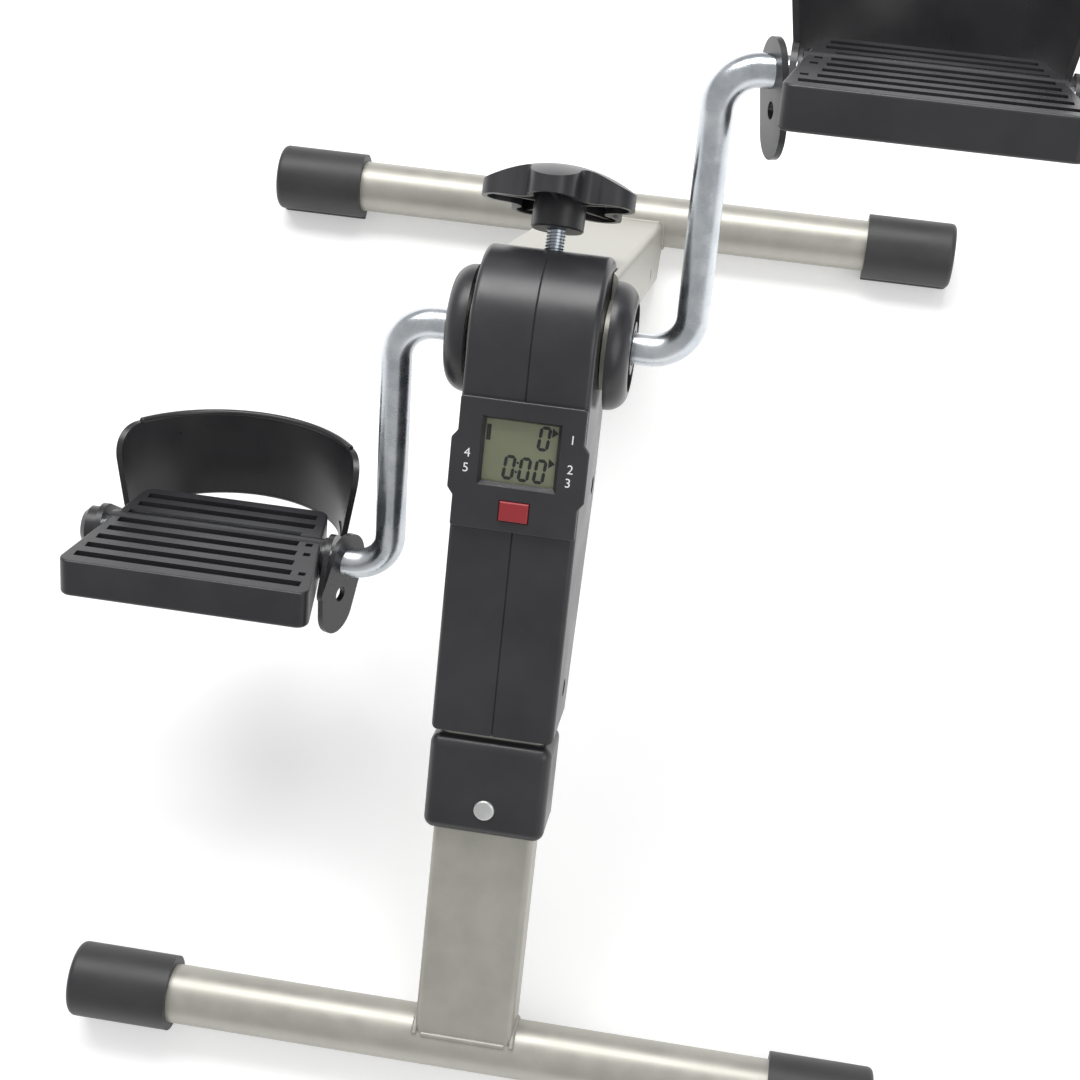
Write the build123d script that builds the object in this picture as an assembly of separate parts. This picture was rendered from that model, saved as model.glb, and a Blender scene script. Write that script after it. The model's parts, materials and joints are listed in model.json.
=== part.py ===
from build123d import *
from math import asin, atan2, cos, degrees, hypot, radians, sin, sqrt
import os

# A folding pedal exerciser. Z is up and the floor is Z = 0. Y runs from the user's side (-Y) to the
# far side (+Y), and X is the user's left to right. All lengths are in millimetres, angles in degrees.

# ---- frame ----
bar_d = 25.4            # round cross tube of each leg
bar_wall = 1.2
bar_length = 342.0
axle_over_bars = 182.7  # crank axle above the centre lines of the cross tubes
rear_reach = 176.5      # rear cross tube behind the axle
post_lean = 50.0        # front leg, from the vertical
leg_w, leg_d, leg_wall = 42.0, 22.0, 1.6
leg_forward = 18.5      # centre of the front leg's tube in front of the axle
leg_corner_r = 3.0
leg_top = -76.0         # upper end of the front leg, along the post from the axle

# ---- feet ----
foot_wall = 3.5
foot_length = 44.0
foot_end = 3.0
foot_pad_w = 21.0
foot_pad_drop = 0.3     # flat sole below the round of the cap
foot_sole_r, foot_edge_r = 1.5, 2.6

# ---- rear leg, a bent channel ----
channel_t = 2.0
channel_play = 0.4      # between a flange and the housing's side
bar_sink = 0.6          # the rear tube's centre below the channel's outer face
plate_h = 28.5          # outer face of the channel's back, from the axle
channel_bend_r = 1.0    # inside of the bends
flange_depth = 28.5
flange_cut = 12.0       # the flanges' lower ends are cut back by this under the bar
ear_r, ear_corner_r = 18.0, 10.0
drain_hole_r = 3.0
drain_hole_s, drain_hole_h = 190.8, 7.2

# ---- housing ----
housing_wall = 4.0      # beside the leg
housing_front = 34.3    # front face, from the axle, and the radius of the head
housing_bottom = -158.0
housing_back_bottom = 4.5
housing_taper_start = -78.0
head_back_r = 26.2
head_step = 18.5        # the step that the open rear leg stops on
housing_round = 2.4
seam = 0.4              # bevel where the two halves meet
stud_well_r, stud_well_d = 6.3, 1.2

# ---- leg sleeve and rivet ----
sleeve_wall = 4.0
sleeve_gap, sleeve_length = 2.8, 41.7     # gap below the housing
sleeve_back = 3.0
sleeve_round = 4.5
rivet_drop = 29.6       # below the sleeve's top
rivet_head_r, rivet_head_h, rivet_r = 4.1, 2.0, 2.4
rivet_tail = 2.0

# ---- hub ----
rod_d = 12.7            # bent rod of the cranks
crank_length = 116.0
crank_x = 58.5
crank_bend_r = 16.0
crank_split = 0.2       # half the gap between the two rods inside the drum
crank_tilt = 36.9       # the right crank points up and back by this, from the vertical
drum_r, drum_w, drum_edge = 16.5, 24.0, 0.6
magnet_r, magnet_t, magnet_at = 1.8, 2.0, 14.2
bush_r, bush_proud = 12.0, 1.5             # the bush stands out of the housing into the cover
sensor_l, sensor_w, sensor_h = 9.0, 3.1, 4.0
cover_r, cover_h, cover_rim = 25.5, 8.8, 0.8
cover_recess_r, cover_collar_r, cover_recess_d = 17.5, 10.5, 3.8
cover_window_h, cover_window_rim = 4.2, 1.2

# ---- tension knob and brake ----
stud_lean = 17.0        # the stud leans back from the post by this
stud_d = 7.9
nut_w, nut_t = 13.0, 5.0
nut_bottom = 27.2       # from the axle, along the stud
lining_t = 2.5
lining_gap = 0.3
shoe_top = 23.4
shoe_half = 8.7
shoe_seat = 2.0
shoe_lift = 2.5
knob_bottom = 42.6
knob_hub_r, knob_hub_h = 10.6, 9.4
knob_r, knob_skirt, knob_dome = 31.7, 6.4, 9.8
knob_lobes = 5
knob_lobe_r = 9.8
knob_valley_r = 5.5
knob_turned = -2.7
knob_hub_edge = 0.6
knob_wall, knob_rib_t = 2.2, 1.8

# ---- display ----
bezel_in = 0.3          # the bezel's sides inside the housing's
bezel_top, bezel_bottom = -19.0, -71.4
bezel_t = 2.2
bezel_ear, bezel_ear_top, bezel_ear_bottom, bezel_ear_slope = 2.3, -36.0, -56.0, 3.0
bezel_corner_r, bezel_edge_r = 1.2, 0.7
window_w, window_top, window_bottom = 28.4, -27.3, -52.1
window_slope = 1.4
lens_t = 1.1
lens_lap = 1.2
board_t = 1.5
board_w, board_top, board_bottom = 34.0, -25.0, -69.0
cell_r, cell_t, cell_at, cell_edge_r = 6.0, 2.9, -42.0, 0.3
button_w, button_h, button_at = 11.6, 8.0, -62.9
button_proud, button_edge_r = 0.9, 0.8
button_flange, button_flange_t = 1.2, 1.0
button_travel = 1.0
pad_w, pad_h, pad_t = 8.0, 6.0, 0.5

# ---- pedals ----
pedal_w = 92.0          # across the tread at the spindle
pedal_taper = 0.15      # each side draws in by this share of the way to the toe edge
pedal_heel, pedal_toe = 51.0, 31.0
pedal_top, pedal_bottom = 8.0, 8.5
pedal_wall, pedal_tread_t = 3.0, 2.4        # the tread's thickness below the grooves
pedal_corner_r, pedal_top_r, pedal_low_r = 5.0, 1.0, 1.6
pedal_tilt_left = 42.0  # toe edge down, from the horizontal
pedal_tilt_right = 40.0
pedal_boss_r, pedal_boss = 8.6, 1.2
rib_count, rib_pitch, rib_groove, rib_depth = 8, 9.3, 4.6, 2.4
rib_in_long, rib_in_short = 4.5, 9.5        # grooves end this far inside the tread's sides
tread_hole, tread_hole_in = 3.0, 4.9
tread_hole_ribs = (1, 3, 4)
strap_t = 2.5
strap_low, strap_high = -3.3, 35.0
strap_crown = 66.0      # middle of the loop's toe end, ahead of the spindle
strap_flare = 8.0       # the loop's upper rim stands out by this on each side
strap_edge, strap_edge_r = 27.0, 14.0       # heel edge of the loop, ahead of the spindle
strap_eye_r = 11.0      # the strap's end round the spindle
strap_heel_f, strap_heel_u, strap_heel_r = -15.5, -8.5, 3.5
strap_neck_f, strap_neck_u, strap_neck_r = 24.0, -6.5, 4.5
strap_root_f, strap_root_u, strap_root_r = 36.0, -0.8, 2.5
tail_out, tail_yaw = 6.55, 20.0             # the loose tail, outside the eye and turned out
tail_eye_r, tail_r = 12.5, 11.5
tail_f, tail_u = -7.0, -19.0
tail_hole_f, tail_hole_u, tail_hole_r = -5.3, -13.0, 3.3
bend_room = 3.0         # between the tail and the crank's bend
cap_grip = 4.3          # how far the spindle stands in its cap
washer_r, washer_t = 9.2, 1.5
end_cap_r, end_cap_l, end_cap_edge_r = 9.2, 7.0, 2.5

# ---- fasteners ----
screw_r, screw_head_r, screw_head_h, screw_recess = 1.9, 3.6, 2.0, 0.4
screw_places = [(-16.0, -62.0, 44.0), (12.0, -141.0, 9.0)]   # forward, along the post, length

# ---- clearances ----
running = 0.05          # round running and push fits, on the radius
press = 0.02            # pieces pressed onto a rod or into a hole, on the radius
room = 0.5              # round a turning piece inside the housing
cover_room = 0.7        # between the hub covers and the rod
gap = 0.3               # between bodies that move past each other
slip = 0.1              # pieces that sit in a pocket
past = 1.0              # how far a cut runs past the face that it opens

# ---- values that follow ----
rod_r = rod_d / 2
bar_r = bar_d / 2
foot_r = bar_r + foot_wall
foot_axis_z = foot_r + foot_pad_drop
axle_z = foot_axis_z + axle_over_bars
housing_w = leg_w + 2 * housing_wall
half_w = housing_w / 2
sleeve_w = leg_w + 2 * sleeve_wall
bezel_w = housing_w - 2 * bezel_in
channel_w = housing_w + 2 * (channel_t + channel_play)
cover_in = channel_w / 2 + gap
cover_out = cover_in + cover_h
bore_r = rod_r + running
lean_s, lean_c = sin(radians(post_lean)), cos(radians(post_lean))
front_bar_t = -(axle_over_bars + leg_forward * lean_s) / lean_c
front_reach = -(front_bar_t * lean_s - leg_forward * lean_c)
axle_y = (front_reach - rear_reach) / 2     # the feet lie evenly before and behind Y = 0
bar_away = hypot(rear_reach, axle_over_bars)
plate_slope = degrees(atan2(axle_over_bars, rear_reach) + asin((plate_h - bar_sink) / bar_away))
slope_s, slope_c = sin(radians(plate_slope)), cos(radians(plate_slope))
rear_bar_s = rear_reach * slope_c + axle_over_bars * slope_s
rear_bar_h = rear_reach * slope_s - axle_over_bars * slope_c
lining_r = drum_r + lining_gap + lining_t
open_by = radians(plate_slope - post_lean)
plate_start = (head_step + gap - (plate_h - channel_t) * sin(open_by)) / cos(open_by)
sleeve_top = housing_bottom - sleeve_gap
sleeve_bottom = sleeve_top - sleeve_length
rivet_t = sleeve_top - rivet_drop
board_seat = housing_front - gap - button_flange_t - button_travel - pad_t - board_t
cover_floor = cover_out - cover_recess_d
sensor_x = drum_w / 2 + gap
pedal_end = pedal_w / 2 + pedal_boss
strap_x = pedal_end + gap + washer_t + gap + strap_t / 2
tail_x = strap_x + tail_out
pedal_x = crank_x + crank_bend_r + bend_room + tail_x
cap_x = strap_x + strap_t / 2 + gap
spindle_end = pedal_x + cap_x + cap_grip

AXLE = Location((0, axle_y, axle_z))
POST = AXLE * Location((0, 0, 0), (-post_lean, 0, 0))          # local Z up the post, local -Y forward
REAR = AXLE * Location((0, 0, 0), (-plate_slope, 0, 0))        # local Y down the rear leg, local Z outwards
CRANK = AXLE * Location((0, 0, 0), (-crank_tilt, 0, 0))        # local Z along the right crank
STUD = POST * Location((0, 0, 0), (-stud_lean, 0, 0))          # local Z along the knob's stud


def box(x0, x1, y0, y1, z0, z1):
    return Location(((x0 + x1) / 2, (y0 + y1) / 2, (z0 + z1) / 2)) * Box(x1 - x0, y1 - y0, z1 - z0)


def cyl_x(r, x0, x1, y=0, z=0):
    return Location(((x0 + x1) / 2, y, z), (0, 90, 0)) * Cylinder(r, x1 - x0)


def cyl_y(r, y0, y1, x=0, z=0):
    return Location((x, (y0 + y1) / 2, z), (90, 0, 0)) * Cylinder(r, y1 - y0)


def cyl_z(r, z0, z1, x=0, y=0):
    return Location((x, y, (z0 + z1) / 2)) * Cylinder(r, z1 - z0)


def side_plate(face, half):
    """A face drawn in local Y, Z, made into a plate from -half to half along X."""
    return extrude(Plane.YZ * face, half, both=True)


def save(shape, name):
    export_step(shape, f"parts/{name}.step")


# ---- legs and feet ----
def cross_bar():
    return cyl_x(bar_r, -bar_length / 2, bar_length / 2) - cyl_x(bar_r - bar_wall, -bar_length, bar_length)


def foot_cap(side):
    """A push-on rubber cap with a flat sole, for the tube end at side (-1 or 1)."""
    outer_end = bar_length / 2 + foot_end
    sole = box(-foot_pad_w / 2, foot_pad_w / 2, -foot_axis_z, 0, 0, foot_length)
    body = cyl_z(foot_r, 0, foot_length) + fillet(sole.edges().filter_by(Axis.Z), foot_sole_r)
    body = fillet(body.faces().sort_by(Axis.Z)[-1].edges(), foot_edge_r)
    body -= cyl_z(bar_r + running, -past, foot_length - foot_end)
    turned = Location((0, 0, 0), (0, 90, 90)) * body     # local Z to X, local Y to Z
    if side < 0:
        turned = mirror(turned, Plane.YZ)
    return Location((side * (outer_end - foot_length), 0, 0)) * turned


def leg_section(low, high, grown=0.0):
    """The front leg's outer section between two places along the post, grown by a clearance."""
    half, y0, y1 = leg_w / 2 + grown, -leg_forward - leg_d / 2 - grown, -leg_forward + leg_d / 2 + grown
    section = box(-half, half, y0, y1, low, high)
    return fillet(section.edges().filter_by(Axis.Z), leg_corner_r + grown)


def front_leg():
    w = leg_wall
    tube = leg_section(front_bar_t, leg_top) - leg_section(front_bar_t - past, leg_top + past, -w)
    tube -= cyl_x(bar_r, -leg_w, leg_w, -leg_forward, front_bar_t)
    face = -leg_forward - leg_d / 2
    tube -= cyl_y(rivet_r + running, face - past, face + w + past, 0, rivet_t)
    forward, up, length = screw_places[1]
    tube -= cyl_x(screw_r + running, 0, leg_w, -forward, up)
    return tube


def rear_channel():
    """A channel bent from sheet: a back plate, two flanges, and an ear round the axle on each side."""
    half, end_s = channel_w / 2, rear_bar_s
    low = plate_h - flange_depth
    under_bar = rear_bar_h - bar_r
    line = Polyline(
        (0, plate_h), (end_s, plate_h), (end_s, under_bar), (end_s - flange_cut, low), (0, low), close=True)
    flange = make_face(line) + Circle(ear_r)
    corner = flange.vertices().sort_by_distance((ear_r, low, 0))[0]
    flange = fillet(corner, ear_corner_r)
    solid = side_plate(flange, half)
    crease = solid.edges().filter_by(Axis.Y).group_by(Axis.Z)[-1]
    solid = fillet(crease, channel_t + channel_bend_r)
    room = half - channel_t
    inner = box(-room, room, -2 * ear_r, end_s + past, -2 * ear_r, plate_h - channel_t)
    crease = [e for e in inner.edges().filter_by(Axis.Y) if e.center().Z > 0]
    solid -= fillet(crease, channel_bend_r)
    solid -= box(-half + channel_t, half - channel_t, -2 * ear_r, plate_start, 0, 2 * plate_h)
    solid -= cyl_x(bush_r + running, -channel_w, channel_w)
    solid -= cyl_x(bar_r, -channel_w, channel_w, rear_bar_s, rear_bar_h)
    return solid - cyl_x(drain_hole_r, -channel_w, channel_w, drain_hole_s, drain_hole_h)


# ---- housing ----
def housing_outline():
    """The housing from the side: round about the axle above, with a step behind, and a tapered stem."""
    front, back = -housing_front, head_back_r
    step_top = sqrt(housing_front ** 2 - head_step ** 2)
    step_low = sqrt(head_back_r ** 2 - head_step ** 2)
    mid_turn = asin(step_low / head_back_r) / 2
    back_mid = (head_back_r * cos(mid_turn), head_back_r * sin(mid_turn))
    return make_face([
        Line((front, housing_bottom), (front, 0)),
        ThreePointArc((front, 0), (0, housing_front), (head_step, step_top)),
        Line((head_step, step_top), (head_step, step_low)),
        ThreePointArc((head_step, step_low), back_mid, (back, 0)),
        Line((back, 0), (back, housing_taper_start)),
        Line((back, housing_taper_start), (housing_back_bottom, housing_bottom)),
        Line((housing_back_bottom, housing_bottom), (front, housing_bottom)),
    ])


def housing_block():
    block = side_plate(housing_outline(), half_w)
    rims = block.faces().sort_by(Axis.X)
    edges = [e for e in rims[0].edges() + rims[-1].edges() if e.center().Y < head_step - past]
    return fillet(edges, housing_round)


def housing_pockets():
    """All that is hollow in the two halves, in the post's frame."""
    leg = leg_section(housing_bottom - past, leg_top, running)
    drum = cyl_x(drum_r + room, -drum_w / 2 - gap, drum_w / 2 + gap)
    bushes = cyl_x(bush_r + running, -housing_w, housing_w)
    lean = Rot(-stud_lean, 0, 0)
    s = shoe_half + gap
    shoe = box(-s, s, -s, s, 0, shoe_top + shoe_lift + gap)
    n = (nut_w + slip) / 2
    nut = box(-n, n, -n, n, nut_bottom, nut_bottom + nut_t + slip / 2)
    well = cyl_z(stud_well_r, housing_front - stud_well_d, knob_bottom)
    bore = cyl_z(stud_d / 2 + room, shoe_top, knob_bottom)
    b = board_w / 2 + slip
    board = box(-b, b, -housing_front - past, -board_seat, board_bottom - slip, board_top + slip)
    cell = cyl_y(cell_r + slip, -board_seat - past, -board_seat + cell_t + slip, 0, cell_at)
    y, z = sensor_l / 2 + slip, sensor_h / 2 + slip
    sensor = box(sensor_x - past, sensor_x + sensor_w + slip, -y, y, -magnet_at - z, -magnet_at + z)
    return [leg, drum, bushes, lean * shoe, lean * nut, lean * well, lean * bore, board, cell, sensor]


def screws(outer, extra=0.0, head_extra=0.0):
    """The housing's screws out to X = outer, or their holes when made larger."""
    made = []
    for forward, up, length in screw_places:
        seat = half_w - screw_recess - screw_head_h
        shank = cyl_x(screw_r + extra, seat - length, seat, -forward, up)
        made.append(shank + cyl_x(screw_head_r + head_extra, seat, outer, -forward, up))
    return made


def housing_half(side):
    x0, x1 = sorted((0, side * housing_w))
    size = housing_front - housing_bottom
    half = housing_block() & box(x0, x1, -size, size, -size, size)
    joined = half.faces().filter_by(Axis.X).sort_by(Axis.X)[0 if side > 0 else -1]
    half = chamfer(joined.edges(), seam)
    for pocket in housing_pockets() + screws(half_w + past, running, slip):
        half -= pocket
    return half


def leg_sleeve():
    half = sleeve_w / 2
    body = box(-half, half, -housing_front, -sleeve_back, sleeve_bottom, sleeve_top)
    body = fillet(body.edges(), sleeve_round)
    body -= leg_section(sleeve_bottom - past, sleeve_top + past, running)
    return body - cyl_y(rivet_r + running, -housing_front - past, -leg_forward, 0, rivet_t)


def sleeve_rivet():
    shank = cyl_y(rivet_r, -housing_front, -leg_forward - leg_d / 2 + leg_wall + rivet_tail, 0, rivet_t)
    head_ball_r = (rivet_head_r ** 2 + rivet_head_h ** 2) / (2 * rivet_head_h)
    ball = Location((0, -housing_front + head_ball_r - rivet_head_h, rivet_t)) * Sphere(head_ball_r)
    h = rivet_head_r
    return shank + (ball & box(-h, h, -housing_front - h, -housing_front, rivet_t - h, rivet_t + h))


# ---- display ----
def bezel():
    half, slope = bezel_w / 2, bezel_ear_slope
    outline = Polyline(
        (-half, bezel_bottom), (-half, bezel_ear_bottom - slope), (-half - bezel_ear, bezel_ear_bottom),
        (-half - bezel_ear, bezel_ear_top), (-half, bezel_ear_top + slope), (-half, bezel_top),
        (half, bezel_top), (half, bezel_ear_top + slope), (half + bezel_ear, bezel_ear_top),
        (half + bezel_ear, bezel_ear_bottom), (half, bezel_ear_bottom - slope), (half, bezel_bottom),
        close=True)
    face = fillet(make_face(outline).vertices(), bezel_corner_r)
    plate = extrude(Plane.XZ.offset(housing_front) * face, bezel_t)
    plate = fillet(plate.faces().sort_by(Axis.Y)[0].edges(), bezel_edge_r)
    window_mid = (window_top + window_bottom) / 2
    window_h = window_top - window_bottom
    outer = Plane.XZ.offset(housing_front + bezel_t) * Pos(0, window_mid) * Rectangle(
        window_w + 2 * window_slope, window_h + 2 * window_slope)
    inner = Plane.XZ.offset(housing_front) * Pos(0, window_mid) * Rectangle(window_w, window_h)
    plate -= loft([inner, outer])
    w, h = button_w / 2 + gap, button_h / 2 + gap
    return plate - box(-w, w, -2 * housing_front, -housing_front + past, button_at - h, button_at + h)


def display_lens():
    w = window_w / 2 + lens_lap
    back = -housing_front + lens_t
    return box(-w, w, -housing_front, back, window_bottom - lens_lap, window_top + lens_lap)


def lcd_panel():
    """The panel fills the space between the lens and the board."""
    w = window_w / 2 + lens_lap
    y0, y1 = -housing_front + lens_t + slip, -board_seat - board_t
    return box(-w, w, y0, y1, window_bottom - lens_lap, window_top + lens_lap)


def display_board():
    return box(-board_w / 2, board_w / 2, -board_seat - board_t, -board_seat, board_bottom, board_top)


def coin_cell():
    return chamfer(cyl_y(cell_r, -board_seat, -board_seat + cell_t, 0, cell_at).edges(), cell_edge_r)


def mode_button():
    w, h = button_w / 2, button_h / 2
    flange_y = -housing_front + gap
    cap = box(-w, w, -housing_front - bezel_t - button_proud, flange_y, button_at - h, button_at + h)
    cap = fillet(cap.faces().sort_by(Axis.Y)[0].edges(), button_edge_r)
    w, h = w + button_flange, h + button_flange
    return cap + box(-w, w, flange_y, flange_y + button_flange_t, button_at - h, button_at + h)


def button_pad():
    y = -board_seat - board_t
    return box(-pad_w / 2, pad_w / 2, y - pad_t, y, button_at - pad_h / 2, button_at + pad_h / 2)


def reed_sensor():
    y, z = sensor_l / 2, sensor_h / 2
    return box(sensor_x, sensor_x + sensor_w, -y, y, -magnet_at - z, -magnet_at + z)


# ---- hub ----
def axle_bush(side):
    x0, x1 = sorted((side * (drum_w / 2 + room), side * (cover_in + bush_proud)))
    return cyl_x(bush_r, x0, x1) - cyl_x(bore_r, x0 - past, x1 + past)


def hub_cover(side):
    """A domed cover with a ring-shaped recess and four windows round the crank's collar."""
    outline = Polyline((cover_in, 0), (cover_out, 0), (cover_out, cover_r), (cover_in, cover_r), close=True)
    profile = make_face(outline)
    edge = profile.vertices().sort_by_distance((cover_out, cover_r, 0))[0]
    profile = fillet(edge, cover_h - cover_rim)
    cover = revolve(profile, Axis.X)
    ring = cyl_x(cover_recess_r, cover_floor, cover_out + past)
    cover -= ring - cyl_x(cover_collar_r, cover_floor - past, cover_out + 2 * past)
    cover -= cyl_x(bush_r + running, cover_in - past, cover_in + bush_proud)
    cover -= cyl_x(rod_r + cover_room, cover_in, cover_out + past)
    low = bush_r + cover_window_rim
    window = box(cover_in - past, cover_out, low, cover_recess_r, -cover_window_h, cover_window_h)
    window = window & cyl_x(cover_recess_r, cover_in - past, cover_out)
    for turn in range(4):
        cover -= Rot(45 + 90 * turn, 0, 0) * window
    return cover if side > 0 else mirror(cover, Plane.YZ)


def friction_drum():
    drum = cyl_x(drum_r, -drum_w / 2, drum_w / 2)
    drum = chamfer(drum.edges(), drum_edge) - cyl_x(rod_r + press, -drum_w, drum_w)
    return drum - cyl_x(magnet_r + press, drum_w / 2 - magnet_t, drum_w, 0, -magnet_at)


def drum_magnet():
    return cyl_x(magnet_r, drum_w / 2 - magnet_t, drum_w / 2, 0, -magnet_at)


def crank(side):
    """One bent rod: half of the axle, the arm, and the pedal's spindle."""
    path = FilletPolyline(
        (side * crank_split, 0, 0), (side * crank_x, 0, 0), (side * crank_x, 0, side * crank_length),
        (side * spindle_end, 0, side * crank_length), radius=crank_bend_r)
    return sweep(Plane(origin=path @ 0, z_dir=path % 0) * Circle(rod_r), path)


# ---- brake ----
def brake_lining():
    h = shoe_half
    ring = cyl_x(lining_r, -h, h) - cyl_x(drum_r + lining_gap, -h - past, h + past)
    return ring & box(-h, h, -h, h, 0, shoe_top)


def brake_shoe():
    h = shoe_half
    block = box(-h, h, -h, h, 0, shoe_top) - cyl_x(lining_r, -h - past, h + past)
    block = block.solids().sort_by(Axis.Z)[-1]
    return block - cyl_z(stud_d / 2 + running, shoe_top - shoe_seat, shoe_top + past)


def stud_nut():
    w = nut_w / 2
    top = nut_bottom + nut_t
    return box(-w, w, -w, w, nut_bottom, top) - cyl_z(stud_d / 2 + running, nut_bottom - past, top + past)


def knob_stud():
    low = shoe_top - shoe_seat + running
    return cyl_z(stud_d / 2, low, knob_bottom + knob_hub_h + knob_skirt)


def star_knob():
    """Five lobes under a shallow dome, with a round hub below."""
    outline = Sketch()
    for k in range(knob_lobes):
        spoke = Rot(0, 0, knob_turned - 90 + 360 * k / knob_lobes)
        arm = spoke * Pos((knob_r - knob_lobe_r) / 2, 0) * Rectangle(knob_r - knob_lobe_r, 2 * knob_lobe_r)
        outline += arm + spoke * Pos(knob_r - knob_lobe_r, 0) * Circle(knob_lobe_r)
    valleys = [v for v in outline.vertices() if v.center().length < knob_r - knob_lobe_r]
    outline = fillet(valleys, knob_valley_r)
    skirt_low = knob_bottom + knob_hub_h
    top = skirt_low + knob_skirt + knob_dome
    ball_r = (knob_r ** 2 + knob_dome ** 2) / (2 * knob_dome)
    dome = Location((0, 0, top - ball_r))
    knob = Location((0, 0, skirt_low)) * extrude(outline, top - skirt_low) & dome * Sphere(ball_r)
    hollow = Location((0, 0, skirt_low - past)) * extrude(offset(outline, -knob_wall), top - skirt_low)
    hollow = hollow & dome * Sphere(ball_r - knob_wall)
    ribs = cyl_z(knob_hub_r, skirt_low, top)
    for k in range(knob_lobes):
        rib = box(0, knob_r, -knob_rib_t / 2, knob_rib_t / 2, skirt_low + past, top)
        ribs += Rot(0, 0, knob_turned - 90 + 360 * k / knob_lobes) * rib
    knob -= hollow - ribs
    hub = cyl_z(knob_hub_r, knob_bottom, skirt_low + past)
    hub = chamfer(hub.edges().sort_by(Axis.Z)[0], knob_hub_edge)
    return knob + hub - cyl_z(stud_d / 2 + press, knob_bottom - past, skirt_low + knob_skirt)


# ---- pedals: local X outward side negative, local Y towards the toe, local Z out of the tread ----
def tread_side(y):
    """Half the tread's width at Y = y."""
    return pedal_w / 2 - pedal_taper * y


def tread_block(inset, low, high):
    """A block with the tread's outline drawn in by inset, between Z = low and Z = high."""
    heel, toe = -pedal_heel + inset, pedal_toe - inset
    wide, narrow = tread_side(heel) - inset, tread_side(toe) - inset
    plan = Polyline((-wide, heel), (wide, heel), (narrow, toe), (-narrow, toe), close=True)
    return Location((0, 0, low)) * extrude(make_face(plan), high - low)


def pedal_body():
    body = tread_block(0, -pedal_bottom, pedal_top)
    body = fillet(body.edges().filter_by(Axis.Z), pedal_corner_r)
    body = fillet(body.faces().sort_by(Axis.Z)[0].edges(), pedal_low_r)
    body = fillet(body.faces().sort_by(Axis.Z)[-1].edges(), pedal_top_r)
    inside = tread_block(pedal_wall, -pedal_bottom - past, pedal_top - rib_depth - pedal_tread_t)
    body -= fillet(inside.edges().filter_by(Axis.Z), pedal_corner_r - pedal_wall)
    body += cyl_x(pedal_boss_r, -pedal_end, pedal_end)
    first = (pedal_toe - pedal_heel) / 2 - (rib_count - 1) / 2 * rib_pitch
    groove_low, groove_high = pedal_top - rib_depth, pedal_top + past
    for k in range(rib_count):
        y = first + k * rib_pitch
        near = tread_side(y) - (rib_in_long if k in (0, rib_count - 2, rib_count - 1) else rib_in_short)
        far = tread_side(y) - rib_in_long
        body -= box(-far, near, y - rib_groove / 2, y + rib_groove / 2, groove_low, groove_high)
        if k in tread_hole_ribs:
            hole_x = tread_side(y) - tread_hole_in
            body -= Pos(hole_x, y, 0) * Box(tread_hole, tread_hole, 2 * groove_high)
    return body - cyl_x(bore_r, -pedal_end - past, pedal_end + past)


def strap_plan(half):
    """One side of the strap seen from above: a straight run beside the pedal and a quarter turn."""
    side = Line((half, strap_heel_f - strap_heel_r), (half, strap_crown - half))
    crown = JernArc(side @ 1, side % 1, half, 90)
    return trace([side, crown], strap_t)


def hull_of(*rounds):
    """The outline round circles given as (y, z, radius)."""
    drawn = Sketch()
    for y, z, r in rounds:
        drawn += Pos(y, z) * Circle(r)
    return drawn + make_hull(drawn.edges())


def pedal_strap():
    """A moulded strap: a loop over the toes, an eye on each side, and a loose tail by the crank."""
    low_plan = Location((0, 0, strap_low)) * strap_plan(strap_x)
    high_plan = Location((0, 0, strap_high)) * strap_plan(strap_x + strap_flare)
    far = 2 * strap_crown
    loop = make_face(Polyline(
        (strap_edge, strap_low), (strap_edge, strap_high), (far, strap_high), (far, strap_low), close=True))
    loop = fillet(loop.vertices().sort_by_distance((strap_edge, strap_high, 0))[0], strap_edge_r)
    loop_side = loft([low_plan, high_plan]) & side_plate(loop, far)
    neck = (strap_neck_f, strap_neck_u, strap_neck_r)
    eye = hull_of((0, 0, strap_eye_r), neck, (strap_heel_f, strap_heel_u, strap_heel_r))
    eye += hull_of(neck, (strap_root_f, strap_root_u, strap_root_r))
    eye_side = extrude(strap_plan(strap_x), strap_edge, both=True) & side_plate(eye, far)
    half = loop_side + eye_side
    tail = hull_of((0, 0, tail_eye_r), (tail_f, tail_u, tail_r), (strap_heel_f, strap_heel_u, strap_heel_r))
    tail -= Pos(tail_hole_f, tail_hole_u) * Circle(tail_hole_r)
    strap = half + mirror(half, Plane.YZ)
    strap += Location((tail_x, 0, 0), (0, 0, -tail_yaw)) * side_plate(tail, strap_t / 2)
    return strap - cyl_x(bore_r, -far, far)


def spindle_washer():
    """The ring between the pedal and the strap's eye, on local X towards the crank."""
    x = pedal_end + gap
    return cyl_x(washer_r, x, x + washer_t) - cyl_x(rod_r + press, x - past, x + washer_t + past)


def spindle_cap():
    """The push-on cap at the spindle's outer end, on local X away from the crank."""
    cap = chamfer(cyl_x(end_cap_r, -cap_x - end_cap_l, -cap_x).edges().sort_by(Axis.X)[0], end_cap_edge_r)
    return cap - cyl_x(rod_r + press, -cap_x - cap_grip, -cap_x + past)


# ---- assembly ----
os.makedirs("parts", exist_ok=True)

FRONT_BAR = Location((0, axle_y - front_reach, foot_axis_z))
REAR_BAR = Location((0, axle_y + rear_reach, foot_axis_z))
save(FRONT_BAR * cross_bar(), "front_cross_bar")
save(REAR_BAR * cross_bar(), "rear_cross_bar")
for name, side in (("left", -1), ("right", 1)):
    save(FRONT_BAR * foot_cap(side), f"front_foot_{name}")
    save(REAR_BAR * foot_cap(side), f"rear_foot_{name}")
    save(POST * housing_half(side), f"housing_{name}")
    save(POST * axle_bush(side), f"axle_bush_{name}")
    save(POST * hub_cover(side), f"hub_cover_{name}")
    save(CRANK * crank(side), f"crank_{name}")

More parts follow.
